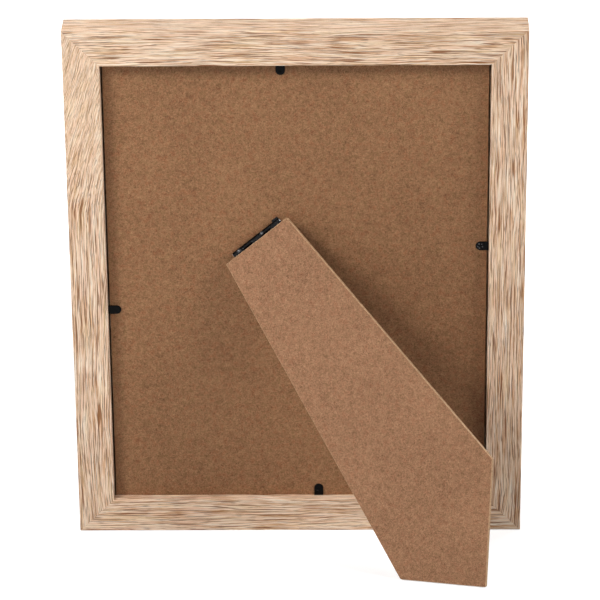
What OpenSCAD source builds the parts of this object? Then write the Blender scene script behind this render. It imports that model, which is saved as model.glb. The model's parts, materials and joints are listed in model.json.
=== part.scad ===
// Coin display frame: a mitred picture frame with round coin pockets behind a glass front,
// standing on its lower back edge and on a hinged easel strut. Millimetres.
// Front faces -Y, back faces +Y. Left and right are as seen from the front.

/* [Insert] */
// Width of the glass, mats and backing
insert_w = 203; // [180:1:230]
// Height of the glass, mats and backing
insert_h = 254; // [230:1:280]
// Play beside the insert, each side
insert_play = 1; // [0.5:0.25:2]
// Thickness of the glass
glass_t = 2; // [1.5:0.5:3]
// Thickness of the front mat with the round windows
mat_t = 1.5; // [1:0.1:2]
// Thickness of the board with the coin pockets
pocket_t = 4; // [3.5:0.5:5]
// Thickness of the sheet that closes the pockets
sheet_t = 0.5; // [0.3:0.1:1]
// Thickness of the backing board
backing_t = 2.5; // [2.3:0.1:3]

/* [Coin pockets] */
// Pockets across
pocket_cols = 4; // [1:1:4]
// Pockets up
pocket_rows = 5; // [1:1:5]
// Spacing of the pockets across
pitch_x = 46; // [44:0.5:47]
// Spacing of the pockets up
pitch_z = 47; // [44:0.5:48]
// Diameter of a pocket, for a coin of 40.6 mm
pocket_d = 41; // [38:0.1:41.5]
// Diameter of a window at its back edge
window_d = 38; // [34:0.5:38]

/* [Rails] */
// Width of a rail's back face, from its outer edge to the rebate
rail_w = 19.5; // [18:0.5:24]
// Depth of a rail, front to back
rail_d = 19.5; // [19:0.5:24]
// How far the front lip covers the glass
lip_w = 5.5; // [4:0.5:7]
// Thickness of the front lip
lip_t = 3.5; // [3:0.5:5]
// Bevel along the lip's inner edge
lip_bevel = 1; // [0.5:0.25:2]
// How far the frame leans back
lean = 12.2; // [8:0.1:15]

/* [Corner nails] */
// Length of a leg of a V-nail
nail_leg = 4; // [3:0.5:5]
// Thickness of a V-nail's strip
nail_t = 0.5; // [0.4:0.1:0.6]
// How deep a V-nail is, front to back
nail_depth = 7; // [5:1:10]
// How far the nails are sunk under the back face
nail_sink = 1.5; // [1:0.5:2]

/* [Tabs] */
// Width of a tab
tab_w = 5; // [4:0.5:6]
// Length of a tab over the backing
tab_reach = 7; // [5:0.5:9]
// Thickness of a tab
tab_t = 0.6; // [0.5:0.1:0.8]
// Length of the stem that is driven into the rail
tab_stem = 9; // [6:1:11]
// Place of the top tab, from the middle, to the right
tab_top_x = 8; // [-80:1:80]
// Place of the bottom tab, from the middle, to the right
tab_bottom_x = -10.5; // [-80:0.5:-10]
// Height of the left tab, from the middle
tab_left_z = 22.5; // [0:0.5:100]
// Height of the right tab, from the middle
tab_right_z = -14.5; // [-100:0.5:100]

/* [Hinge] */
// Place of the hinge's middle, to the right of the frame's middle
hinge_x = 21.6; // [15:0.2:25]
// Height of the hinge's middle on the frame
hinge_z = 175.7; // [165:0.1:180]
// Slant of the hinge from level
hinge_slant = 39.7; // [38:0.1:42]
// Length of the barrel
hinge_len = 32; // [24:1:36]
// Outer radius of the barrel
barrel_r = 1.5; // [1.3:0.1:1.7]
// Radius of the hinge pin
pin_r = 0.6; // [0.5:0.05:0.7]
// Radial clearance of the pin in the strut's knuckles
pin_play = 0.05; // [0.02:0.01:0.1]
// Thickness of a hinge leaf
leaf_t = 0.6; // [0.5:0.1:0.7]
// Width of a hinge leaf, from the pin to its far edge
leaf_w = 13; // [11:1:16]
// Width of the stop tongue at the end of the barrel
stop_w = 4; // [3:0.5:6]

/* [Strut] */
// How far the strut opens from the board
strut_open = 28.5; // [25:0.5:32]
// Distance from the pin down to the strut's head edge
head_gap = 2; // [1.8:0.1:2.6]
// Width of the strut at the hinge
strut_head_w = 42.6; // [38:0.2:48]
// Angle by which each side of the strut widens
strut_taper = 5.8; // [4:0.1:8]
// Thickness of the strut
strut_t = 3; // [2.5:0.5:4]
// Sideways place of the foot's right-angled corner, from the strut's middle
foot_corner_x = 4.5; // [2:0.2:8]

/* [Hidden] */
$fn = 96;
slack = 1;              // overshoot of a cutting body past a face
root_gap = 0.02;        // gap between a tab's bend and its stem
knuckles = 5;
knuckle_gap = 0.2;
pin_head_r = 1;
pin_head_t = 0.5;
pin_end_gap = 0.05;
stop_gap = 0.05;        // gap left between the stop tongue's tip and the board
dimple_r = 1.4;
dimple_depth = 0.2;
nail_steps = [6, 12];   // places of the two V-nails, from the corner
prong = [1.6, 0.5, 2];  // a spike bent out of a leaf
prong_x = [-10, 10];
prong_y = [4.5, 10];

hole_w = insert_w + 2 * insert_play;
hole_h = insert_h + 2 * insert_play;
outer_w = hole_w + 2 * rail_w;
outer_h = hole_h + 2 * rail_w;
moulding_w = rail_w + lip_w;
middle_z = outer_h / 2;

// Faces of the layers, counted from the back of the rails at y = 0
glass_y = -rail_d + lip_t;
mat_y = glass_y + glass_t;
pocket_y = mat_y + mat_t;
sheet_y = pocket_y + pocket_t;
backing_y = sheet_y + sheet_t;
board_y = backing_y + backing_t;

hinge_y = board_y + barrel_r;
knuckle_len = (hinge_len - (knuckles - 1) * knuckle_gap) / knuckles;
board_knuckles = [1, 3];
strut_knuckles = [0, 2, 4];
leaf_start = barrel_r + knuckle_gap;
stop_reach = (barrel_r - leaf_t / 2 * cos(strut_open)) / sin(strut_open) - stop_gap;

// A point of the upright frame after it leans back
function leaned(p) = [p.x, p.y * cos(lean) + p.z * sin(lean), p.z * cos(lean) - p.y * sin(lean)];

// A point of the open strut in the upright frame: x along the pin, y down the strut, z through it
function on_strut(x, y, z) =
    let (down = y * cos(strut_open) - z * sin(strut_open))
    let (out = y * sin(strut_open) + z * cos(strut_open))
    [hinge_x + x * cos(hinge_slant) - down * sin(hinge_slant),
     hinge_y + out,
     hinge_z - x * sin(hinge_slant) - down * cos(hinge_slant)];

// The foot edge is where the strut's inner face meets the table, y = foot_start + foot_slope * x
head_height = leaned(on_strut(0, 0, barrel_r)).z;
rise_x = leaned(on_strut(1, 0, barrel_r)).z - head_height;
rise_y = leaned(on_strut(0, 1, barrel_r)).z - head_height;
foot_start = -head_height / rise_y;
foot_slope = -rise_x / rise_y;

// Corners of the strut: the foot's second edge is square to the first, for standing sideways
half_head = strut_head_w / 2;
widen = tan(strut_taper);
heel_y = (foot_start + foot_slope * (half_head - head_gap * widen)) / (1 - foot_slope * widen);
corner_y = foot_start + foot_slope * foot_corner_x;
toe_run = -(foot_corner_x + half_head + (corner_y - head_gap) * widen) / (foot_slope - widen);
strut_outline = [
    [half_head, head_gap],
    [-half_head, head_gap],
    [foot_corner_x + toe_run * foot_slope, corner_y - toe_run],
    [foot_corner_x, corner_y],
    [half_head + (heel_y - head_gap) * widen, heel_y]
];

// The origin is under the middle of the standing frame
front_y = leaned([0, -rail_d, 0]).y;
rear_y = leaned(on_strut(foot_corner_x, corner_y, barrel_r + strut_t)).y;
middle_y = (front_y + rear_y) / 2;

// Leans the upright frame back about its lower back edge
module leaning() {
    translate([0, -middle_y, 0]) rotate([-lean, 0, 0]) children();
}

// Puts a side of the frame in place: x along the side, z from its outer edge inwards
module on_side(turn, half) {
    translate([0, 0, middle_z]) rotate([0, turn, 0]) translate([0, 0, -half]) children();
}

module on_bottom() {
    on_side(0, outer_h / 2) children();
}

module on_top() {
    on_side(180, outer_h / 2) children();
}

module on_left() {
    on_side(90, outer_w / 2) children();
}

module on_right() {
    on_side(-90, outer_w / 2) children();
}

// One length of rebated moulding with mitred ends
module moulding(length) {
    intersection() {
        rotate([0, -90, 0]) linear_extrude(length, center = true) polygon([
            [0, 0],
            [rail_w, 0],
            [rail_w, glass_y],
            [moulding_w, glass_y],
            [moulding_w, lip_bevel - rail_d],
            [moulding_w - lip_bevel, -rail_d],
            [0, -rail_d]
        ]);
        rotate([90, 0, 0]) linear_extrude(rail_d) polygon([
            [-length / 2, 0],
            [length / 2, 0],
            [length / 2 - moulding_w, moulding_w],
            [moulding_w - length / 2, moulding_w]
        ]);
    }
}

// The stem of a tab, driven into the rebate wall. Its slot is longer, so that it cuts through the wall
module tab_root(along, overshoot = 0) {
    translate([along - tab_w / 2, board_y, rail_w - tab_stem]) cube([tab_w, tab_t, tab_stem + overshoot]);
}

// The free part of a tab, pressed down on the backing, with a round tip and a dimple
module tab(along) {
    bend_z = rail_w + tab_t / 2 + root_gap;
    tip_z = rail_w + tab_reach - tab_w / 2;
    translate([along, board_y, 0]) difference() {
        union() {
            translate([-tab_w / 2, tab_t / 2, bend_z]) rotate([0, 90, 0]) cylinder(tab_w, r = tab_t / 2);
            translate([-tab_w / 2, 0, bend_z]) cube([tab_w, tab_t, tip_z - bend_z]);
            translate([0, tab_t, tip_z]) rotate([90, 0, 0]) cylinder(tab_t, d = tab_w);
        }
        translate([0, tab_t + dimple_r - dimple_depth, tip_z]) sphere(dimple_r);
    }
}

// Two V-nails across the mitre of one corner: side_x and side_z are 1 or -1
module corner_nails(side_x, side_z) {
    translate([side_x * outer_w / 2, -nail_sink, middle_z + side_z * outer_h / 2])
        mirror([side_x > 0 ? 1 : 0, 0, 0])
            mirror([0, 0, side_z > 0 ? 1 : 0])
                for (step = nail_steps)
                    translate([step, 0, step]) rotate([90, 0, 0]) linear_extrude(nail_depth) polygon([
                        [0, 0],
                        [nail_leg, 0],
                        [nail_leg, nail_t],
                        [nail_t, nail_t],
                        [nail_t, nail_leg],
                        [0, nail_leg]
                    ]);
}

module all_corner_nails() {
    for (side_x = [-1, 1], side_z = [-1, 1])
        corner_nails(side_x, side_z);
}

module oak() {
    color("burlywood") leaning() difference() {
        children([0]);
        all_corner_nails();
        children([1]);
    }
}

module rail_top() {
    oak() {
        on_top() moulding(outer_w);
        on_top() tab_root(-tab_top_x, slack);
    }
}

module rail_bottom() {
    oak() {
        on_bottom() moulding(outer_w);
        on_bottom() tab_root(tab_bottom_x, slack);
    }
}

module rail_left() {
    oak() {
        on_left() moulding(outer_h);
        on_left() tab_root(-tab_left_z, slack);
    }
}

module rail_right() {
    oak() {
        on_right() moulding(outer_h);
        on_right() tab_root(tab_right_z, slack);
    }
}

// A flat layer of the insert, resting on the bottom rail
module layer(front, thickness) {
    translate([-insert_w / 2, front, rail_w]) cube([insert_w, thickness, insert_h]);
}

// Repeats its child at the middle of every coin pocket
module at_pockets() {
    for (col = [0 : pocket_cols - 1], row = [0 : pocket_rows - 1])
        translate([
            (col - (pocket_cols - 1) / 2) * pitch_x,
            0,
            middle_z + (row - (pocket_rows - 1) / 2) * pitch_z
        ]) children();
}

module glazing() {
    color("lightcyan", 0.4) leaning() layer(glass_y, glass_t);
}

// The windows are bevelled at 45 degrees, wide towards the glass
module window_mat() {
    color("dimgray") leaning() difference() {
        layer(mat_y, mat_t);
        at_pockets() translate([0, mat_y + mat_t, 0]) rotate([90, 0, 0])
            cylinder(mat_t, r1 = window_d / 2, r2 = window_d / 2 + mat_t);
    }
}

module pocket_board() {
    color("slategray") leaning() difference() {
        layer(pocket_y, pocket_t);
        at_pockets() translate([0, pocket_y + pocket_t + slack, 0]) rotate([90, 0, 0])
            cylinder(pocket_t + 2 * slack, d = pocket_d);
    }
}

module back_sheet() {
    color("midnightblue") leaning() layer(sheet_y, sheet_t);
}

module backing_board() {
    color("sienna") leaning() difference() {
        layer(backing_y, backing_t);
        on_hinge() prongs(-barrel_r - prong.z, slack);
    }
}

// Hinge frame: x along the pin, y down the closed strut, z out of the board
module on_hinge() {
    translate([hinge_x, hinge_y, hinge_z]) rotate([-90, hinge_slant, 0]) children();
}

module on_open_strut() {
    on_hinge() rotate([strut_open, 0, 0]) children();
}

// The spikes of a leaf. Their holes are longer, so that they cut through the face they go in at
module prongs(low_z, overshoot = 0) {
    for (x = prong_x, y = prong_y)
        translate([x - prong.x / 2, y, low_z]) cube([prong.x, prong.y, prong.z + overshoot]);
}

// A stamped leaf: plate, prongs and rolled knuckles
module hinge_leaf(own_knuckles, plate_z, prong_z, bore_r) {
    difference() {
        union() {
            translate([-hinge_len / 2, leaf_start, plate_z]) cube([hinge_len, leaf_w - leaf_start, leaf_t]);
            prongs(prong_z);
            for (k = own_knuckles) translate([k * (knuckle_len + knuckle_gap) - hinge_len / 2, 0, 0]) {
                rotate([0, 90, 0]) cylinder(knuckle_len, r = barrel_r);
                translate([0, 0, plate_z]) cube([knuckle_len, leaf_start + slack, leaf_t]);
            }
        }
        translate([-hinge_len, 0, 0]) rotate([0, 90, 0]) cylinder(2 * hinge_len, r = bore_r);
    }
}

module hinge_leaf_board() {
    color("black") leaning() on_hinge()
        hinge_leaf(board_knuckles, -barrel_r, -barrel_r - prong.z, pin_r);
}

// The strut's leaf carries a stop tongue, which lands on the board when the strut is open
module hinge_leaf_strut() {
    wall_mid = (barrel_r + pin_r + pin_play) / 2;
    color("black") leaning() on_open_strut() {
        hinge_leaf(strut_knuckles, barrel_r - leaf_t, barrel_r, pin_r + pin_play);
        translate([-hinge_len / 2, -stop_reach, -leaf_t / 2]) cube([stop_w, stop_reach - wall_mid, leaf_t]);
    }
}

module hinge_pin() {
    color("silver") leaning() on_hinge() {
        translate([-hinge_len / 2 - pin_head_t, 0, 0]) rotate([0, 90, 0])
            cylinder(hinge_len + 2 * pin_head_t, r = pin_r);
        for (side = [-1, 1])
            translate([side * (hinge_len + pin_head_t + 2 * pin_end_gap) / 2, 0, 0])
                rotate([0, 90, 0]) cylinder(pin_head_t, r = pin_head_r, center = true);
    }
}

module strut() {
    color("peru") leaning() on_open_strut() difference() {
        translate([0, 0, barrel_r]) linear_extrude(strut_t) polygon(strut_outline);
        prongs(barrel_r - slack, slack);
    }
}

module black_steel() {
    color("black") leaning() children();
}

module bare_steel() {
    color("silver") leaning() children();
}

rail_top();
rail_bottom();
rail_left();
rail_right();
bare_steel() corner_nails(-1, 1);  // corner_nails_top_left
bare_steel() corner_nails(1, 1);  // corner_nails_top_right
bare_steel() corner_nails(-1, -1);  // corner_nails_bottom_left
bare_steel() corner_nails(1, -1);  // corner_nails_bottom_right
glazing();
window_mat();
pocket_board();
back_sheet();
backing_board();
black_steel() on_top() tab_root(-tab_top_x);  // tab_root_top
black_steel() on_bottom() tab_root(tab_bottom_x);  // tab_root_bottom
black_steel() on_left() tab_root(-tab_left_z);  // tab_root_left
black_steel() on_right() tab_root(tab_right_z);  // tab_root_right
black_steel() on_top() tab(-tab_top_x);  // tab_top
black_steel() on_bottom() tab(tab_bottom_x);  // tab_bottom
black_steel() on_left() tab(-tab_left_z);  // tab_left
black_steel() on_right() tab(tab_right_z);  // tab_right
hinge_leaf_board();
hinge_leaf_strut();
hinge_pin();
strut();
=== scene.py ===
"""Looks of the coin display frame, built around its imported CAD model. Lengths are in metres."""
import json
import math

import bmesh
import bpy
from mathutils import Matrix, Vector, noise


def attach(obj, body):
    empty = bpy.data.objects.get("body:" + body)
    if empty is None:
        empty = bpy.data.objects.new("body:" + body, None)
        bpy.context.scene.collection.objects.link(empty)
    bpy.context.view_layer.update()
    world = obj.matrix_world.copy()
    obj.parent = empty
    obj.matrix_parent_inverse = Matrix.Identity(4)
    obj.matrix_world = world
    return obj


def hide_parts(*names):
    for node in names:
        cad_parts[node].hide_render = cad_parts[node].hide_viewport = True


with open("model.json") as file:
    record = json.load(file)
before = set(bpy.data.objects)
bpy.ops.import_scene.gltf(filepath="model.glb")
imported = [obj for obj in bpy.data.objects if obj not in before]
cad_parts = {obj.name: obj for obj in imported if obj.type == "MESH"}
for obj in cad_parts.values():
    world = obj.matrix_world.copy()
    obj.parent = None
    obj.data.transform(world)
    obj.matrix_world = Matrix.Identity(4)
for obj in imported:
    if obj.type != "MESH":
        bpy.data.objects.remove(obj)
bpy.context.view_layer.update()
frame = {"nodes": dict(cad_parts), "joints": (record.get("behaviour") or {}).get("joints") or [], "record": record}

MM = 0.001
TINY = 1e-9
TAU = 2 * math.pi
SIDES = ("top", "bottom", "left", "right")

# ---------------------------------------------------------------- sizes from the frame

mounts = {mount["name"]: mount for mount in frame["record"]["mounts"]}
hinge = next(joint for joint in frame["joints"] if joint["name"] == "strut_hinge")

back_way = -Vector(mounts["front_face"]["axis"])
LEAN = math.asin(-back_way.z)
TILT = Matrix.Rotation(-LEAN, 4, "X")
STRUT_OPEN = math.radians(28.5)


def axes_at(origin, x, y, z):
    """Matrix whose columns are three unit axes and an origin."""
    turn = Matrix((x, y, z)).transposed().to_4x4()
    return Matrix.Translation(origin) @ turn


pin_way = Vector(hinge["axis"]).normalized()
HINGE = axes_at(hinge["pos_m"], pin_way, back_way.cross(pin_way), back_way)
OPEN_STRUT = HINGE @ Matrix.Rotation(STRUT_OPEN, 4, "X")


def box_in(place, node):
    """Lowest and highest corner of a CAD node, measured along the axes of a placement."""
    inverse = place.inverted()
    points = [inverse @ vertex.co for vertex in frame["nodes"][node].data.vertices]
    low = Vector(min(point[i] for point in points) for i in range(3))
    high = Vector(max(point[i] for point in points) for i in range(3))
    return low, high


rail_low, rail_high = box_in(TILT, "rail_bottom")
side_low, side_high = box_in(TILT, "rail_left")
glass_low, glass_high = box_in(TILT, "glazing")
board_low, board_high = box_in(TILT, "backing_board")
OUTER_W = rail_high.x - rail_low.x
OUTER_H = side_high.z - side_low.z
RAIL_D = rail_high.y - rail_low.y
MOULDING_W = rail_high.z - rail_low.z
RAIL_W = glass_low.z - rail_low.z
LIP_T = glass_low.y - rail_low.y
BACK_Y = rail_high.y
BOARD_Y = board_high.y
MIDDLE_Z = side_low.z + OUTER_H / 2
LIP_BEVEL = 1 * MM
MITRE_GAP = 0.04 * MM

SIDE_TURNS = {"top": 180, "bottom": 0, "left": 90, "right": -90}


def side_place(side):
    """Placement of one side: x along it, y towards the back, z from its outer edge inwards."""
    half = OUTER_H / 2 if side in ("top", "bottom") else OUTER_W / 2
    turn = Matrix.Rotation(math.radians(SIDE_TURNS[side]), 4, "Y")
    middle = Matrix.Translation((0, 0, MIDDLE_Z))
    return TILT @ middle @ turn @ Matrix.Translation((0, 0, -half))


# ---------------------------------------------------------------- shader building blocks


class Finish:
    """A node material that ends in one Principled shader."""

    def __init__(self, name, **settings):
        self.material = bpy.data.materials.new(name)
        self.material.use_nodes = True
        self.tree = self.material.node_tree
        self.shader = self.tree.nodes["Principled BSDF"]
        for socket, value in settings.items():
            self.put(self.shader.inputs[socket.replace("_", " ")], value)

    def put(self, socket, value):
        """Links a socket to another, or sets its value."""
        if isinstance(value, bpy.types.NodeSocket):
            self.tree.links.new(value, socket)
        else:
            socket.default_value = value

    def add(self, kind, inputs=(), **settings):
        """A new node with its settings, and its inputs by name or number."""
        node = self.tree.nodes.new(kind)
        for key, value in settings.items():
            setattr(node, key, value)
        for key, value in dict(inputs).items():
            self.put(node.inputs[key], value)
        return node

    def place(self):
        """Position in metres."""
        return self.add("ShaderNodeTexCoord").outputs["Object"]

    def along_grain(self):
        """Position in metres along the grain and across it."""
        return self.add("ShaderNodeUVMap", uv_map="grain").outputs["UV"]

    def stretch(self, vector, scale, turn=(0, 0, 0), shift=(0, 0, 0)):
        """A position scaled along each axis, turned and moved."""
        inputs = {"Vector": vector, "Scale": scale, "Rotation": turn, "Location": shift}
        return self.add("ShaderNodeMapping", inputs).outputs["Vector"]

    def noise(self, vector, scale=1.0, detail=2.0, rough=0.5):
        """Smooth noise from 0 to 1, about 0.5 on average."""
        inputs = {"Vector": vector, "Scale": scale, "Detail": detail, "Roughness": rough}
        return self.add("ShaderNodeTexNoise", inputs).outputs["Fac"]

    def cells(self, vector, scale):
        """Distance to the nearest of many scattered points."""
        inputs = {"Vector": vector, "Scale": scale}
        return self.add("ShaderNodeTexVoronoi", inputs).outputs["Distance"]

    def ramp(self, value, low, high, start=0.0, end=1.0):
        """Value mapped from low..high to start..end, clamped."""
        inputs = {"Value": value, 1: low, 2: high, 3: start, 4: end}
        return self.add("ShaderNodeMapRange", inputs, clamp=True).outputs["Result"]

    def sum(self, a, b, how="ADD"):
        """Two values added, or joined by another operation."""
        return self.add("ShaderNodeMath", {0: a, 1: b}, operation=how).outputs["Value"]

    def times(self, a, b):
        return self.sum(a, b, "MULTIPLY")

    def shift(self, vector, offset):
        """A position moved by another vector."""
        node = self.add("ShaderNodeVectorMath", {0: vector, 1: offset}, operation="ADD")
        return node.outputs["Vector"]

    def distance(self, vector, middle):
        """Distance of a position from a point."""
        node = self.add("ShaderNodeVectorMath", {0: vector, 1: middle}, operation="DISTANCE")
        return node.outputs["Value"]

    def vector(self, x=0.0, y=0.0, z=0.0):
        return self.add("ShaderNodeCombineXYZ", {0: x, 1: y, 2: z}).outputs["Vector"]

    def blend(self, amount, a, b, how="MIX"):
        """Mixes two colours."""
        node = self.add("ShaderNodeMix", data_type="RGBA", blend_type=how)
        colour_a, colour_b = [s for s in node.inputs if s.type == "RGBA"]
        self.put(node.inputs[0], amount)
        self.put(colour_a, a)
        self.put(colour_b, b)
        return next(s for s in node.outputs if s.type == "RGBA")

    def scale(self, value, *stops):
        """A colour scale: stops are (position, colour), low to high."""
        node = self.add("ShaderNodeValToRGB", {"Fac": value})
        elements = node.color_ramp.elements
        elements.remove(elements[1])
        for i, (position, colour) in enumerate(stops):
            element = elements.new(position) if i else elements[0]
            element.position = position
            element.color = colour
        return node.outputs["Color"]

    def mixed(self, *layers):
        """Weighted sum of noises about their middle, as a value about 0.5."""
        total = 0.5
        for weight, value in layers:
            terms = {0: value, 1: weight, 2: total}
            added = self.add("ShaderNodeMath", terms, operation="MULTIPLY_ADD")
            total = self.sum(added.outputs["Value"], -0.5 * weight)
        return total

    def finish(self, colour, rough, height=None, depth=0.0):
        """Connects the colour, the roughness and, with a depth in metres, the relief."""
        self.put(self.shader.inputs["Base Color"], colour)
        self.put(self.shader.inputs["Roughness"], rough)
        if height is not None:
            bump = self.add("ShaderNodeBump", {"Height": height, "Strength": 1.0, "Distance": depth})
            self.put(self.shader.inputs["Normal"], bump.outputs["Normal"])
        return self.material


SCREEN_CURVE_OFFSET = 0.055
SCREEN_CURVE_POWER = 2.4


def paint(red, green, blue):
    """A colour for a shader socket, from screen values of 0 to 255."""
    shares = [(c / 255 + SCREEN_CURVE_OFFSET) / (1 + SCREEN_CURVE_OFFSET) for c in (red, green, blue)]
    return (*[share**SCREEN_CURVE_POWER for share in shares], 1.0)


# ---------------------------------------------------------------- materials

# Noise frequencies of the oak, per metre along the grain and across it, and how far its lines sway
SLOW_WANDER = (9, 30, 1)
QUICK_WANDER = (34, 110, 1)
BANDS = (5, 140, 1)
STREAKS = (22, 900, 1)
LINES = (32, 2300, 1)
FIBRES = (110, 4800, 1)
DASHES = (40, 1700, 1)
PORES = (120, 2900, 1)
TINTS = (30, 420, 1)
SLOW_SWAY = 7 * MM
QUICK_SWAY = 1.6 * MM
GRAIN_RELIEF = 0.22 * MM


def oak_finish():
    """Brushed pale oak: fine dark lines, dashes and pores along each rail, and warm and pale patches."""
    m = Finish("oak", Specular_IOR_Level=0.3)
    grain = m.along_grain()
    figure = m.add("ShaderNodeAttribute", attribute_name="figure").outputs["Fac"]
    slow = m.noise(m.stretch(grain, SLOW_WANDER))
    quick = m.noise(m.stretch(grain, QUICK_WANDER))
    sway = m.sum(m.times(m.sum(slow, -0.5), SLOW_SWAY), m.times(m.sum(quick, -0.5), QUICK_SWAY))
    wavy = m.shift(grain, m.vector(y=sway))

    bands = m.noise(m.stretch(wavy, BANDS))
    streaks = m.noise(m.stretch(wavy, STREAKS, shift=(3, 1, 0)))
    lines = m.noise(m.stretch(wavy, LINES, shift=(7, 2, 0)), detail=1, rough=0.6)
    fibres = m.noise(m.stretch(wavy, FIBRES, shift=(4, 6, 0)), rough=0.6)
    dashes = m.noise(m.stretch(wavy, DASHES, shift=(2, 9, 0)), detail=1)
    pores = m.noise(m.stretch(wavy, PORES, shift=(1, 5, 0)), detail=1)
    tints = m.noise(m.stretch(wavy, TINTS, shift=(8, 4, 0)))

    dark = m.mixed((0.4, bands), (0.6, streaks), (2.5, lines), (1.7, fibres))
    colour = m.scale(
        dark,
        (0.00, paint(255, 240, 220)),
        (0.40, paint(250, 221, 193)),
        (0.58, paint(238, 201, 168)),
        (0.76, paint(211, 162, 119)),
        (1.00, paint(156, 106, 64)),
    )
    colour = m.blend(m.times(m.ramp(tints, 0.53, 0.66), 0.3), colour, paint(238, 190, 158))
    colour = m.blend(m.times(m.ramp(tints, 0.47, 0.34), 0.3), colour, paint(248, 220, 176))
    darkest = m.sum(0.9, m.times(figure, -0.5))
    colour = m.blend(m.times(m.ramp(dashes, 0.57, 0.63), darkest), colour, paint(144, 92, 53))
    colour = m.blend(m.times(m.ramp(pores, 0.62, 0.69), 0.75), colour, paint(114, 68, 38))
    colour = m.blend(m.times(figure, 0.3), colour, paint(240, 206, 172))
    rough = m.ramp(dark, 0.2, 0.9, 0.5, 0.75)
    height = m.sum(m.times(dark, -0.8), m.times(m.ramp(dashes, 0.54, 0.64), -0.8))
    return m.finish(colour, rough, height, GRAIN_RELIEF)


def hardboard_finish(name, pale, middle, deep, hue):
    """Smooth brown fibreboard: fine specks, felted fibres and slow clouds of another hue."""
    m = Finish(name, Specular_IOR_Level=0.25)
    place = m.place()
    clouds = m.noise(place, 22, detail=3)
    mottle = m.noise(place, 300, detail=3, rough=0.6)
    felt = m.noise(place, 900, detail=3, rough=0.7)
    specks = m.noise(place, 2000, detail=2, rough=0.7)
    flecks = m.cells(place, 520)
    spots = m.noise(m.stretch(place, (420, 420, 420), shift=(5, 0, 2)), detail=2)
    tone = m.mixed((0.3, clouds), (0.5, mottle), (0.95, felt), (1.6, specks))
    colour = m.scale(tone, (0.0, pale), (0.5, middle), (1.0, deep))
    colour = m.blend(m.times(m.ramp(spots, 0.53, 0.68), hue), colour, paint(172, 106, 70), "OVERLAY")
    colour = m.blend(m.times(m.ramp(spots, 0.47, 0.32), hue), colour, paint(112, 124, 70), "OVERLAY")
    colour = m.blend(m.times(m.ramp(flecks, 0.14, 0.05), 0.4), colour, deep)
    rough = m.ramp(felt, 0.3, 0.7, 0.58, 0.74)
    return m.finish(colour, rough, m.sum(felt, specks), 0.05 * MM)


def cut_edge_finish():
    """The sawn edge of the fibreboard: paler, layered and fuzzy."""
    m = Finish("fibreboard_edge", Specular_IOR_Level=0.2)
    place = m.place()
    fuzz = m.noise(place, 1600, detail=3, rough=0.7)
    marks = m.noise(m.stretch(place, (900, 60, 900)), detail=2)
    colour = m.blend(m.ramp(fuzz, 0.35, 0.65), paint(206, 172, 136), paint(164, 126, 92))
    colour = m.blend(m.times(m.ramp(marks, 0.5, 0.7), 0.4), colour, paint(128, 92, 62))
    return m.finish(colour, 0.85, fuzz, 0.12 * MM)


# Painted highlights: places on the hinge barrel and round the left tab's dimple rim where bare-metal spots stand
# in for highlights
BARREL_HIGHLIGHT_X = (12 * MM, -4 * MM)
BARREL_HIGHLIGHT_Y = -0.9 * MM
BARREL_HIGHLIGHT_Z = 1.2 * MM
BARREL_HIGHLIGHT_REACH = 1.6 * MM
RIM_HIGHLIGHT_TURNS = (20, 75, 150, 215, 290)
RIM_HIGHLIGHT_R = 1.3 * MM
RIM_HIGHLIGHT_REACH = 0.7 * MM


def highlight_and_wear_places():
    """Painted highlights, laid out as spots where the black paint is worn off to the metal: a middle and a reach
    for each place.
    """
    places = []
    for x in BARREL_HIGHLIGHT_X:
        places.append((HINGE @ Vector((x, BARREL_HIGHLIGHT_Y, BARREL_HIGHLIGHT_Z)), BARREL_HIGHLIGHT_REACH))
    side = side_place("left")
    low, high = box_in(side, "tab_left")
    dimple = Vector(((low.x + high.x) / 2, high.y, high.z - (high.x - low.x) / 2))
    for turn in RIM_HIGHLIGHT_TURNS:
        angle = math.radians(turn)
        rim = Vector((RIM_HIGHLIGHT_R * math.cos(angle), 0, RIM_HIGHLIGHT_R * math.sin(angle)))
        places.append((side @ (dimple + rim), RIM_HIGHLIGHT_REACH))
    return places


def black_steel_finish():
    """Glossy black stoved paint on thin steel, scratched, with painted highlights as spots rubbed to the metal on
    the hinge barrel and round one tab's dimple rim.
    """
    m = Finish("black_steel", Specular_IOR_Level=0.12)
    place = m.place()
    ripple = m.noise(place, 700, detail=3)
    scratches = m.noise(m.stretch(place, (500, 2600, 500)), detail=2, rough=0.7)
    bare_and_highlight = m.ramp(scratches, 0.68, 0.78)
    # Painted highlights: pale bare-metal spots at these places, added to the worn scratches
    for middle, reach in highlight_and_wear_places():
        ragged = m.sum(m.distance(place, middle), m.times(ripple, reach))
        bare_and_highlight = m.sum(bare_and_highlight, m.ramp(ragged, 1.3 * reach, 0.7 * reach), "MAXIMUM")
    m.put(m.shader.inputs["Metallic"], bare_and_highlight)
    # The pale metal colour covers worn scratches and painted highlights alike
    colour = m.blend(bare_and_highlight, paint(6, 6, 7), paint(104, 104, 106))
    return m.finish(colour, m.ramp(ripple, 0.3, 0.7, 0.1, 0.22), ripple, 0.008 * MM)


def bright_steel_finish(name, rough):
    """Plain drawn steel with fine lines."""
    m = Finish(name, Metallic=1.0)
    lines = m.noise(m.stretch(m.place(), (4000, 300, 300)), detail=3)
    colour = m.blend(lines, paint(196, 196, 198), paint(150, 150, 154))
    return m.finish(colour, m.ramp(lines, 0.3, 0.7, rough, rough + 0.15), lines, 0.01 * MM)


def glass_finish():
    """Clear float glass with a faint green body."""
    m = Finish("glass", IOR=1.5, Transmission_Weight=1.0)
    smears = m.noise(m.place(), 22, detail=4, rough=0.6)
    return m.finish(paint(246, 252, 249), m.ramp(smears, 0.4, 0.75, 0.0, 0.035))


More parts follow.
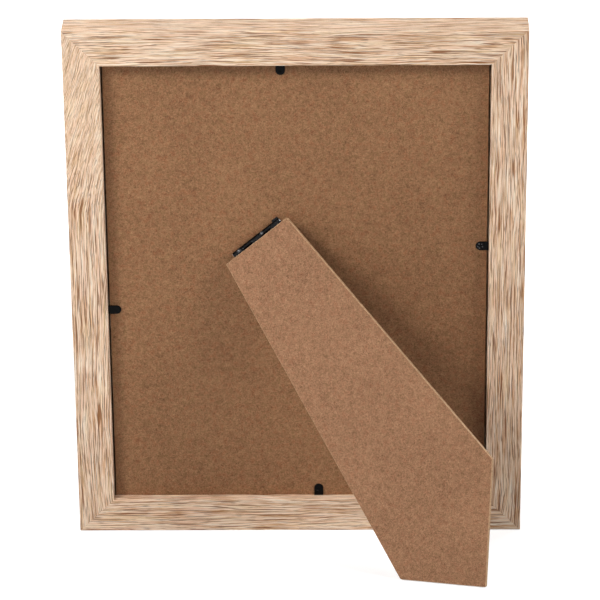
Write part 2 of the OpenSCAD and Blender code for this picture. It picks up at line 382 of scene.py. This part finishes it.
def card_finish(name, light, dark, rough):
    """Matte card with a fine felt and stray fibres."""
    m = Finish(name, Specular_IOR_Level=0.25)
    place = m.place()
    felt = m.noise(place, 1800, detail=4, rough=0.65)
    strands = m.noise(m.stretch(place, (260, 260, 1900), turn=(0, 0.7, 0)), detail=2)
    colour = m.blend(m.ramp(felt, 0.35, 0.65), light, dark)
    colour = m.blend(m.times(m.ramp(strands, 0.62, 0.74), 0.25), colour, paint(150, 146, 140))
    return m.finish(colour, rough, felt, 0.03 * MM)


def flock_finish():
    """Deep blue flock on the front, a short pile brushed in patches, and plain brown paper behind."""
    m = Finish("flock_sheet", Sheen_Weight=0.5, Sheen_Roughness=0.4, Specular_IOR_Level=0.1)
    place = m.place()
    pile = m.noise(place, 5200, detail=2, rough=0.7)
    nap = m.noise(place, 45, detail=2)
    colour = m.blend(m.ramp(pile, 0.35, 0.7), paint(26, 36, 78), paint(50, 66, 118))
    colour = m.blend(m.times(m.ramp(nap, 0.45, 0.65), 0.35), colour, paint(64, 82, 134))
    normal = m.add("ShaderNodeNewGeometry").outputs["Normal"]
    faces = m.add("ShaderNodeVectorMath", {0: normal, 1: back_way}, operation="DOT_PRODUCT")
    colour = m.blend(m.ramp(faces.outputs["Value"], -0.5, 0.0), colour, paint(122, 84, 52))
    return m.finish(colour, 0.95, pile, 0.04 * MM)


FLOOR_DARK = (0.60, 0.60, 0.60, 1)
FLOOR_PALE = (0.62, 0.62, 0.62, 1)
FLOOR_NEAR = 0.2
FLOOR_FAR = 1.1
FLOOR_GLOW_NEAR = 0.66
FLOOR_GLOW_FAR = 1.0


def floor_finish():
    """Plain white studio floor: a mild reflector, which runs out to pure white away from the object."""
    m = Finish("floor", Specular_IOR_Level=0.0, Emission_Color=(1, 1, 1, 1))
    place = m.place()
    tone = m.noise(place, 3)
    glow = m.ramp(m.distance(place, (0, 0, 0)), FLOOR_NEAR, FLOOR_FAR, FLOOR_GLOW_NEAR, FLOOR_GLOW_FAR)
    seen = m.add("ShaderNodeLightPath").outputs["Is Camera Ray"]
    m.put(m.shader.inputs["Emission Strength"], m.times(seen, glow))
    return m.finish(m.blend(tone, FLOOR_DARK, FLOOR_PALE), 0.9)


OAK = oak_finish()
BOARD = hardboard_finish("backing_mdf", paint(180, 137, 98), paint(145, 104, 72), paint(92, 62, 38), 0.24)
STRUT = hardboard_finish("strut_mdf", paint(188, 142, 107), paint(150, 109, 79), paint(101, 69, 45), 0.16)
EDGE = cut_edge_finish()
BLACK = black_steel_finish()
PIN_STEEL = bright_steel_finish("pin_steel", 0.22)
NAIL_STEEL = bright_steel_finish("nail_steel", 0.35)
GLASS = glass_finish()
MAT = card_finish("mat_card", paint(34, 35, 38), paint(48, 49, 52), 0.85)
CORE = card_finish("mat_core", paint(240, 234, 220), paint(226, 218, 200), 0.8)
POCKET = card_finish("pocket_card", paint(66, 68, 72), paint(84, 86, 90), 0.85)
FLOCK = flock_finish()

# ---------------------------------------------------------------- mesh building blocks


def rounded(points, radii, steps=5):
    """A closed outline with each corner cut by a short curve, radius by radius."""
    outline = []
    for i, corner in enumerate(points):
        corner = Vector(corner)
        before = (Vector(points[i - 1]) - corner).normalized() * radii[i]
        after = (Vector(points[(i + 1) % len(points)]) - corner).normalized() * radii[i]
        for k in range(steps + 1):
            t = k / steps
            outline.append(corner + before * (1 - t) ** 2 + after * t**2)
    return outline


def divided(outline, step):
    """The same closed outline with points at most a step apart."""
    points = []
    for i, start in enumerate(outline):
        run = outline[(i + 1) % len(outline)] - start
        pieces = max(1, math.ceil(run.length / step))
        points += [start + run * (k / pieces) for k in range(pieces)]
    return points


SHARPEST_MITRE = 0.5


def inset(outline, depth):
    """A closed outline moved inwards. It runs anticlockwise."""
    moved = []
    for i, point in enumerate(outline):
        before = (point - outline[i - 1]).normalized()
        after = (outline[(i + 1) % len(outline)] - point).normalized()
        way = (before + after).normalized()
        normal = Vector((-way.y, way.x))
        moved.append(point + normal * depth / max(SHARPEST_MITRE, way.dot(after)))
    return moved


def bridge(mesh, ring, other, slot=0):
    """Quads between two rings of vertices."""
    for i in range(len(ring)):
        j = (i + 1) % len(ring)
        face = mesh.faces.new((ring[i], ring[j], other[j], other[i]))
        face.material_index = slot


def piece(name, mesh, place, body, materials, smooth=True):
    """Turns mesh data into an object in its place, riding on its body."""
    bmesh.ops.recalc_face_normals(mesh, faces=mesh.faces)
    data = bpy.data.meshes.new(name)
    mesh.to_mesh(data)
    mesh.free()
    data.transform(place)
    for material in materials:
        data.materials.append(material)
    for polygon in data.polygons:
        polygon.use_smooth = smooth
    shape = bpy.data.objects.new(name, data)
    bpy.context.scene.collection.objects.link(shape)
    if smooth:
        weighted = shape.modifiers.new("even_shading", "WEIGHTED_NORMAL")
        weighted.weight = 100
        weighted.keep_sharp = True
    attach(shape, body)
    return shape


PLATE_STEPS = 3


def add_plate(mesh, outline, low, high, bevel, edge_slot=0):
    """A flat plate with eased edges. Its outline runs anticlockwise in x and y."""
    levels = []
    for k in range(PLATE_STEPS + 1):
        angle = math.pi / 2 * k / PLATE_STEPS
        levels.append((bevel * (1 - math.sin(angle)), low + bevel * (1 - math.cos(angle))))
    levels += [(depth, low + high - z) for depth, z in reversed(levels)]
    rings = [[mesh.verts.new((p.x, p.y, z)) for p in inset(outline, depth)] for depth, z in levels]
    for ring, other in zip(rings, rings[1:]):
        bridge(mesh, ring, other, edge_slot)
    mesh.faces.new(rings[0])
    mesh.faces.new(rings[-1])


def add_turned(mesh, profile, segments=48):
    """A closed ring turned about the x axis. The profile is a closed list of (x, radius)."""
    rings = []
    for k in range(segments):
        angle = TAU * k / segments
        c, s = math.cos(angle), math.sin(angle)
        rings.append([mesh.verts.new((x, r * c, r * s)) for x, r in profile])
    for ring, other in zip(rings, rings[1:] + rings[:1]):
        bridge(mesh, ring, other)


# ---------------------------------------------------------------- rails

RAIL_STEPS = 140
FLAT_STEP = 3 * MM
CORNER_RADII = (0.7, 0.9, 0.4, 0.4, 0.3, 0.1, 0.45)
WOOD_WAVE = 0.07 * MM
WAVE_SCALE = 70
WAVE_ACROSS = 3
WAVE_SEED = 7.3
GRAIN_SEED_ALONG = 0.61
GRAIN_SEED_ACROSS = 0.37


def moulding_profile():
    """Section of a rail: x from the outer edge inwards, y towards the back."""
    glass_y = BACK_Y - RAIL_D + LIP_T
    front_y = BACK_Y - RAIL_D
    corners = [
        (0, BACK_Y),
        (0, front_y),
        (MOULDING_W - LIP_BEVEL, front_y),
        (MOULDING_W, front_y + LIP_BEVEL),
        (MOULDING_W, glass_y),
        (RAIL_W, glass_y),
        (RAIL_W, BACK_Y),
    ]
    radii = [r * MM for r in CORNER_RADII]
    return divided(rounded(corners, radii), FLAT_STEP)


FIGURE_START = 40 * MM
FIGURE_SLANT = 0.34
FIGURE_CROWD = 1.6
FIGURE_RUN = 30 * MM


def figure_at(side, x):
    """How far a place lies into the right rail's slanted figure, which starts softly near its top."""
    past = max(0.0, x - FIGURE_START) if side == "right" else 0.0
    return past**2 / (past + FIGURE_RUN)


def build_rail(side, seed):
    """One mitred rail, with its grain laid out along it and round its section."""
    profile = moulding_profile()
    length = OUTER_W if side in ("top", "bottom") else OUTER_H
    mesh = bmesh.new()
    grain = mesh.loops.layers.uv.new("grain")
    figure = mesh.verts.layers.float.new("figure")
    run = [0.0]
    for point, following in zip(profile, profile[1:] + profile[:1]):
        run.append(run[-1] + (following - point).length)
    outward = [point - far for point, far in zip(profile, inset(profile, MM))]
    rings = []
    for step in range(RAIL_STEPS + 1):
        ring = []
        for point, way, across in zip(profile, outward, run):
            x = (2 * step / RAIL_STEPS - 1) * (length / 2 - point.x - MITRE_GAP)
            spot = Vector((x * WAVE_SCALE, across * WAVE_SCALE * WAVE_ACROSS, seed * WAVE_SEED))
            swell = noise.noise(spot)
            moved = point + way.normalized() * (swell - 0.5) * WOOD_WAVE
            vert = mesh.verts.new((x, moved.y, moved.x))
            vert[figure] = min(1.0, figure_at(side, x) / FIGURE_RUN)
            ring.append(vert)
        rings.append(ring)
    across_of = {}
    for ring in rings:
        across_of.update({vert: across for vert, across in zip(ring, run)})
    for ring, other in zip(rings, rings[1:]):
        bridge(mesh, ring, other)
    for ring in (rings[0], rings[-1]):
        cap = mesh.faces.new(ring)
        for edge in cap.edges:
            edge.smooth = False
    for face in mesh.faces:
        values = [across_of[loop.vert] for loop in face.loops]
        wraps = max(values) - min(values) > run[-1] / 2 and len(values) == 4
        for loop, across in zip(face.loops, values):
            if wraps and across == 0:
                across = run[-1]
            x = loop.vert.co.x
            past = figure_at(side, x)
            along = x + past * FIGURE_CROWD + seed * GRAIN_SEED_ALONG
            around = across + past * FIGURE_SLANT + seed * GRAIN_SEED_ACROSS
            loop[grain].uv = (along, around)
    shape = piece(f"rail_{side}_wood", mesh, side_place(side), "frame", [OAK])
    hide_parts(f"rail_{side}")


for number, side in enumerate(SIDES):
    build_rail(side, number + 1)

# ---------------------------------------------------------------- insert


def repaint(node, material, bevel=0.0):
    """Gives a CAD node its material, and eases its edges by a modifier."""
    shape = frame["nodes"][node]
    shape.data.materials.clear()
    shape.data.materials.append(material)
    if bevel:
        eased = shape.modifiers.new("eased_edges", "BEVEL")
        eased.width = bevel
        eased.segments = 2
        eased.limit_method = "ANGLE"


def pocket_middles():
    """Middle of each coin pocket in the tilted axes, from the openings that the record states."""
    inverse = TILT.inverted()
    middles = []
    for opening in frame["record"]["physics"]["openings"]:
        low, high = map(Vector, opening["box_m"])
        middles.append(inverse @ ((low + high) / 2))
    return middles


ARC = 96
WINDOW_R = 19 * MM
POCKET_R = 20.5 * MM
GRID_DIGITS = 5
WELD = 0.002 * MM


def square_point(angle, half_x, half_z):
    """Point on a rectangle's edge in a direction."""
    c, s = math.cos(angle), math.sin(angle)
    reach = min(half_x / max(abs(c), TINY), half_z / max(abs(s), TINY))
    return Vector((c * reach, s * reach))


def build_perforated(name, node, front_r, back_r, materials):
    """A sheet with a round hole at every pocket, its walls straight or bevelled."""
    low, high = box_in(TILT, node)
    middles = pocket_middles()
    xs = sorted({round(point.x, GRID_DIGITS) for point in middles})
    zs = sorted({round(point.z, GRID_DIGITS) for point in middles})

    def edges(values, first, last):
        between = [(a + b) / 2 for a, b in zip(values, values[1:])]
        return [first, *between, last]

    x_edges = edges(xs, low.x, high.x)
    z_edges = edges(zs, low.z, high.z)
    mesh = bmesh.new()
    for i, x in enumerate(xs):
        for j, z in enumerate(zs):
            rings = {}
            angles = {TAU * k / ARC for k in range(ARC)}
            corners = [(a - x, b - z) for a in x_edges[i : i + 2] for b in z_edges[j : j + 2]]
            angles |= {math.atan2(b, a) % TAU for a, b in corners}
            angles = sorted(angles)
            for key, y, radius in (("front", low.y, front_r), ("back", high.y, back_r)):
                hole, cell = [], []
                for angle in angles:
                    c, s = math.cos(angle), math.sin(angle)
                    half_x = (x_edges[i + 1] - x) if c > 0 else (x - x_edges[i])
                    half_z = (z_edges[j + 1] - z) if s > 0 else (z - z_edges[j])
                    edge = square_point(angle, half_x, half_z)
                    hole.append(mesh.verts.new((x + c * radius, y, z + s * radius)))
                    cell.append(mesh.verts.new((x + edge.x, y, z + edge.y)))
                bridge(mesh, hole, cell)
                rings[key] = (hole, cell)
            bridge(mesh, rings["front"][0], rings["back"][0], len(materials) - 1)
    bmesh.ops.remove_doubles(mesh, verts=mesh.verts, dist=WELD)
    border = [edge for edge in mesh.edges if edge.is_boundary]
    bmesh.ops.bridge_loops(mesh, edges=border)
    shape = piece(name, mesh, TILT, "frame", materials, smooth=False)
    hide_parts(node)


mat_low, mat_high = box_in(TILT, "window_mat")
bevelled_r = WINDOW_R + mat_high.y - mat_low.y
build_perforated("window_mat_card", "window_mat", bevelled_r, WINDOW_R, [MAT, CORE])
build_perforated("pocket_board_card", "pocket_board", POCKET_R, POCKET_R, [POCKET])

GLASS_EASE = 0.25 * MM
BOARD_EASE = 0.2 * MM

repaint("glazing", GLASS, GLASS_EASE)
repaint("back_sheet", FLOCK)
repaint("backing_board", BOARD, BOARD_EASE)
for corner in ("top_left", "top_right", "bottom_left", "bottom_right"):
    repaint(f"corner_nails_{corner}", NAIL_STEEL)
for side in SIDES:
    repaint(f"tab_root_{side}", BLACK)

# ---------------------------------------------------------------- tabs

TAB_ROWS = 40
TAB_COLUMNS = 24
TAB_EASE = 0.14 * MM
TAB_TIP_HALF = 0.02 * MM
DIMPLE_DEPTH = 0.24 * MM
DIMPLE_R = 0.7 * MM
RIM_RISE = 0.07 * MM
RIM_R = 1.25 * MM
RIM_W = 0.3 * MM


def pressed(r):
    """Depth of a tab's dimple at a distance from its middle, less the rise of its rim."""
    dimple = DIMPLE_DEPTH * math.exp(-((r / DIMPLE_R) ** 2))
    rim = RIM_RISE * math.exp(-(((r - RIM_R) / RIM_W) ** 2))
    return dimple - rim


def build_tab(side):
    """A stamped tab: round tip, eased edges and a pressed dimple with a raised rim."""
    place = side_place(side)
    low, high = box_in(place, f"tab_{side}")
    middle = (low.x + high.x) / 2
    half = (high.x - low.x) / 2
    thick = high.y - low.y
    tip = high.z
    mesh = bmesh.new()
    layers = []
    for top in (False, True):
        rows = []
        for row in range(TAB_ROWS + 1):
            z = low.z + (tip - low.z) * math.sin(math.pi / 2 * row / TAB_ROWS)
            from_tip = tip - z
            width = half if from_tip >= half else math.sqrt(max(0, half**2 - (half - from_tip) ** 2))
            width = max(width, TAB_TIP_HALF)
            line = []
            for column in range(TAB_COLUMNS + 1):
                s = math.sin(math.pi / 2 * (2 * column / TAB_COLUMNS - 1))
                x = s * width
                edge = min(width - abs(x), from_tip, z - low.z)
                ease = TAB_EASE * (1 - min(1, edge / TAB_EASE)) ** 2
                y = ease
                if top:
                    y = thick - ease - RIM_RISE - pressed(math.hypot(x, tip - half - z))
                line.append(mesh.verts.new((middle + x, low.y + y, z)))
            rows.append(line)
        for line, following in zip(rows, rows[1:]):
            for a, b, c, d in zip(line, line[1:], following[1:], following):
                mesh.faces.new((a, b, c, d))
        layers.append(rows)
    rims = []
    for rows in layers:
        right = [line[-1] for line in rows]
        left = [line[0] for line in rows]
        rims.append(rows[0] + right[1:] + rows[-1][-2::-1] + left[-2:0:-1])
    bridge(mesh, rims[0], rims[1])
    shape = piece(f"tab_{side}_steel", mesh, place, f"tab_{side}", [BLACK])
    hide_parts(f"tab_{side}")


for side in SIDES:
    build_tab(side)

# ---------------------------------------------------------------- strut and hinge


def hull(points):
    """Corners of the smallest convex outline round some points, anticlockwise."""
    points = sorted(set(points))

    def chain(run):
        kept = []
        for p in run:
            while len(kept) > 1:
                (ax, ay), (bx, by) = kept[-2:]
                if (bx - ax) * (p[1] - ay) - (by - ay) * (p[0] - ax) > TINY:
                    break
                kept.pop()
            kept.append(p)
        return kept[:-1]

    return chain(points) + chain(points[::-1])


SAW_WANDER = 0.12 * MM
SAW_SCALE = 160
SAW_LEVEL = 0.3
SAW_STEP = 2 * MM
STRUT_CORNER_R = 0.9 * MM
STRUT_EASE = 0.28 * MM


def build_strut():
    """The fibreboard strut, with slightly uneven sawn edges."""
    inverse = OPEN_STRUT.inverted()
    points = [inverse @ vertex.co for vertex in frame["nodes"]["strut"].data.vertices]
    corners = hull([(round(p.x, GRID_DIGITS), round(p.y, GRID_DIGITS)) for p in points])
    low = min(p.z for p in points)
    high = max(p.z for p in points)
    outline = divided(rounded(corners, [STRUT_CORNER_R] * len(corners)), SAW_STEP)
    sawn = []
    for point, far in zip(outline, inset(outline, MM)):
        wander = (noise.noise(Vector((point.x, point.y, SAW_LEVEL)) * SAW_SCALE) + 1) / 2
        sawn.append(point + (far - point).normalized() * wander * SAW_WANDER)
    mesh = bmesh.new()
    add_plate(mesh, sawn, low, high, STRUT_EASE, edge_slot=1)
    shape = piece("strut_board", mesh, OPEN_STRUT, "strut", [STRUT, EDGE])
    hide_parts("strut")


KNUCKLES = 5
KNUCKLE_GAP = 0.2 * MM
BARREL_R = 1.5 * MM
# A little under the barrel's radius, so that the knuckles turn clear of the backing board
KNUCKLE_R = 1.46 * MM
BORE_R = 0.66 * MM
LEAF_T = 0.6 * MM
LEAF_EASE = 0.1 * MM
LEAF_CORNER_R = 2 * MM
LEAF_INNER_R = 0.3 * MM
NECK_EASE = 0.08 * MM
NECK_R = 0.1 * MM
KNUCKLE_EASE = 0.18 * MM
KNUCKLE_SHOULDER = 0.3
STOP_REACH = 2.5 * MM
STOP_W = 4 * MM
STOP_R = 0.6 * MM


def barrel_length():
    """Length of the barrel, which is that of the strut's leaf."""
    low, high = box_in(HINGE, "hinge_leaf_strut")
    return high.x - low.x


def knuckle_profile(start, end):
    """Closed section of one rolled knuckle, with eased ends."""
    shoulder = KNUCKLE_EASE * KNUCKLE_SHOULDER
    return [
        (start, BORE_R),
        (start, KNUCKLE_R - KNUCKLE_EASE),
        (start + shoulder, KNUCKLE_R - shoulder),
        (start + KNUCKLE_EASE, KNUCKLE_R),
        (end - KNUCKLE_EASE, KNUCKLE_R),
        (end - shoulder, KNUCKLE_R - shoulder),
        (end, KNUCKLE_R - KNUCKLE_EASE),
        (end, BORE_R),
    ]


def build_leaf(name, node, place, body, own, plate_low, stop=False):
    """A stamped hinge leaf with its knuckles, and the stop tongue on the strut's leaf."""
    far_end = box_in(place, node)[1].y
    length = barrel_length()
    width = (length - (KNUCKLES - 1) * KNUCKLE_GAP) / KNUCKLES
    mesh = bmesh.new()
    start = BARREL_R + KNUCKLE_GAP
    half = length / 2
    corners = [(-half, start), (half, start), (half, far_end), (-half, far_end)]
    plate = rounded(corners, [LEAF_INNER_R, LEAF_INNER_R, LEAF_CORNER_R, LEAF_CORNER_R])
    add_plate(mesh, plate, plate_low, plate_low + LEAF_T, LEAF_EASE)
    for k in own:
        left = k * (width + KNUCKLE_GAP) - half
        add_turned(mesh, knuckle_profile(left, left + width))
        right, root = left + width, start + MM
        neck = rounded([(left, 0), (right, 0), (right, root), (left, root)], [NECK_R] * 4)
        add_plate(mesh, neck, plate_low, plate_low + LEAF_T, NECK_EASE)
    if stop:
        inner = STOP_W - half
        tongue = [(-half, -STOP_REACH), (inner, -STOP_REACH), (inner, -MM), (-half, -MM)]
        outline = rounded(tongue, [STOP_R, STOP_R, NECK_R, NECK_R])
        add_plate(mesh, outline, -LEAF_T / 2, LEAF_T / 2, LEAF_EASE)
    shape = piece(name, mesh, place, body, [BLACK])
    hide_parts(node)


PIN_R = 0.6 * MM
PIN_HEAD_R = 1 * MM
PIN_HEAD_RISE = 0.5 * MM
PIN_TIP_R = 0.02 * MM
PIN_SEGMENTS = 32


def build_pin():
    """The hinge pin, with a domed head riveted over at each end."""
    low, high = box_in(HINGE, "hinge_pin")
    half = (high.x - low.x) / 2
    dome = [
        (half - PIN_HEAD_RISE, PIN_R),
        (half - PIN_HEAD_RISE, PIN_HEAD_R),
        (half - PIN_HEAD_RISE * 0.5, PIN_HEAD_R * 0.86),
        (half - PIN_HEAD_RISE * 0.15, PIN_HEAD_R * 0.5),
        (half, PIN_TIP_R),
    ]
    profile = [(-x, r) for x, r in reversed(dome)] + dome
    mesh = bmesh.new()
    rings = []
    for x, r in profile:
        ring = []
        for k in range(PIN_SEGMENTS):
            angle = TAU * k / PIN_SEGMENTS
            ring.append(mesh.verts.new((x, r * math.cos(angle), r * math.sin(angle))))
        rings.append(ring)
    for ring, other in zip(rings, rings[1:]):
        bridge(mesh, ring, other)
    mesh.faces.new(rings[0])
    mesh.faces.new(rings[-1])
    shape = piece("hinge_pin_steel", mesh, HINGE, "frame", [PIN_STEEL])
    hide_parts("hinge_pin")


build_strut()
build_leaf("hinge_leaf_board_steel", "hinge_leaf_board", HINGE, "frame", (1, 3), -BARREL_R)
build_leaf("hinge_leaf_strut_steel", "hinge_leaf_strut", OPEN_STRUT, "strut", (0, 2, 4),
           BARREL_R - LEAF_T, stop=True)
build_pin()

# ---------------------------------------------------------------- studio

FLOOR_HALF = 9
LAMP_AIM = (0, 0, 0.14)


def build_floor():
    """A wide level floor at the object's lowest point."""
    mesh = bmesh.new()
    corners = [(-1, -1), (1, -1), (1, 1), (-1, 1)]
    mesh.faces.new([mesh.verts.new((x * FLOOR_HALF, y * FLOOR_HALF, 0)) for x, y in corners])
    data = bpy.data.meshes.new("floor")
    mesh.to_mesh(data)
    mesh.free()
    data.materials.append(floor_finish())
    floor = bpy.data.objects.new("floor", data)
    bpy.context.scene.collection.objects.link(floor)


def aimed(location, target):
    """Rotation that points a lamp or camera at a target."""
    return (Vector(target) - Vector(location)).to_track_quat("-Z", "Y")


def softbox(name, location, size, power):
    """A large square lamp aimed at the middle of the frame."""
    data = bpy.data.lights.new(name, "AREA")
    data.size = size
    data.energy = power
    lamp = bpy.data.objects.new(name, data)
    lamp.location = location
    lamp.rotation_mode = "QUATERNION"
    lamp.rotation_quaternion = aimed(location, LAMP_AIM)
    lamp.visible_camera = False
    bpy.context.scene.collection.objects.link(lamp)


CAMERA_PLACE = (-0.0296, 1.8666, 0.5602)
CAMERA_TARGET = (-0.0013, -0.0130, 0.1381)
CAMERA_ROLL = -0.37
CAMERA_LENS = 215.1
SENSOR_WIDTH = 36


def build_camera():
    """The camera behind the frame, a little above it and slightly rolled."""
    data = bpy.data.cameras.new("camera")
    data.sensor_width = SENSOR_WIDTH
    data.lens = CAMERA_LENS
    camera = bpy.data.objects.new("camera", data)
    camera.location = CAMERA_PLACE
    camera.rotation_mode = "QUATERNION"
    roll = Matrix.Rotation(math.radians(CAMERA_ROLL), 4, "Z").to_quaternion()
    camera.rotation_quaternion = aimed(camera.location, CAMERA_TARGET) @ roll
    bpy.context.scene.collection.objects.link(camera)
    bpy.context.scene.camera = camera


WORLD_LIGHT = 0.03
WORLD_SEEN = 1.0


def build_world():
    """White all round to look at, and only a faint light on the object."""
    world = bpy.data.worlds.new("studio")
    world.use_nodes = True
    tree = world.node_tree
    rays = tree.nodes.new("ShaderNodeLightPath")
    strength = tree.nodes.new("ShaderNodeMapRange")
    strength.inputs["To Min"].default_value = WORLD_LIGHT
    strength.inputs["To Max"].default_value = WORLD_SEEN
    tree.links.new(rays.outputs["Is Camera Ray"], strength.inputs["Value"])
    background = tree.nodes["Background"]
    background.inputs["Color"].default_value = (1, 1, 1, 1)
    tree.links.new(strength.outputs["Result"], background.inputs["Strength"])
    bpy.context.scene.world = world


# Each lamp's name, its place and size in metres, and its power in watts
LAMPS = (
    ("key", (0.627, 0.527, 0.714), 0.25, 6.8),
    ("overhead", (0.014, 0.155, 0.874), 0.35, 0.5),
    ("right_high", (-1.102, 0.636, 0.935), 0.6, 14.0),
    ("left_low", (0.852, 1.217, 0.349), 0.7, 3.4),
    ("front_left", (-1.3, -1.75, 1.25), 1.0, 22),
    ("front_right", (1.1, -1.9, 1.35), 1.0, 26),
)

build_floor()
for lamp_name, lamp_place, lamp_size, lamp_power in LAMPS:
    softbox(lamp_name, lamp_place, lamp_size, lamp_power)
build_camera()
build_world()
bpy.context.scene.view_settings.view_transform = "Standard"
